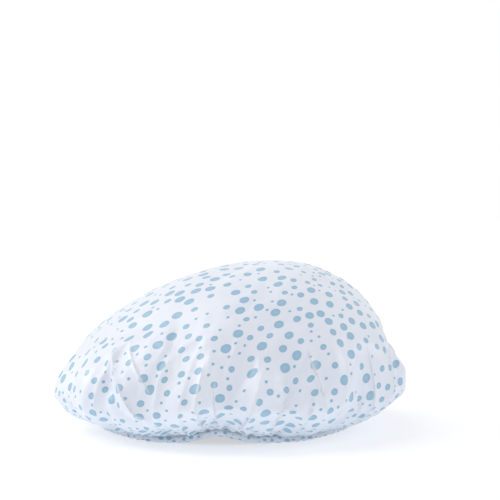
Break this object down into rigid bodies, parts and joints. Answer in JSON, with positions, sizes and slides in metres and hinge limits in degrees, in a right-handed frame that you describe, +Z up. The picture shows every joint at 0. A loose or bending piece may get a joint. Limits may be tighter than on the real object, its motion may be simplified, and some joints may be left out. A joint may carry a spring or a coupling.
{
  "type": "shower cap",
  "caption": "Puffed bath cap of thin dotted film with a gathered, stitched hem over a stretchy elastic ring, worn to keep hair dry.",
  "frame": {"origin": "on the table under the middle of the cap's footprint, in the plane of the hem's underside", "axes": "+Z up through the crown, +X to the cap's right as pictured, -Y towards the camera"},
  "size_m": [0.243, 0.2354, 0.117],
  "materials": {
    "film": "thin white film printed with pale blue dots",
    "elastic": "white covered elastic",
    "thread": "white sewing thread"
  },
  "bodies": {
    "cap": {"crown_film": "film", "elastic_left": "elastic", "hem_needle_thread": "thread", "hem_bobbin_thread": "thread"},
    "hem_right": {"elastic_right": "elastic", "elastic_tack": "thread"}
  },
  "joints": [
    {"name": "hem_stretch", "type": "slide", "parent": "cap", "child": "hem_right", "axis": [1, 0, 0], "range_m": [0, 0.05], "stiffness_N_per_m": 60, "deforming": ["crown_film", "hem_needle_thread", "hem_bobbin_thread"]}
  ]
}
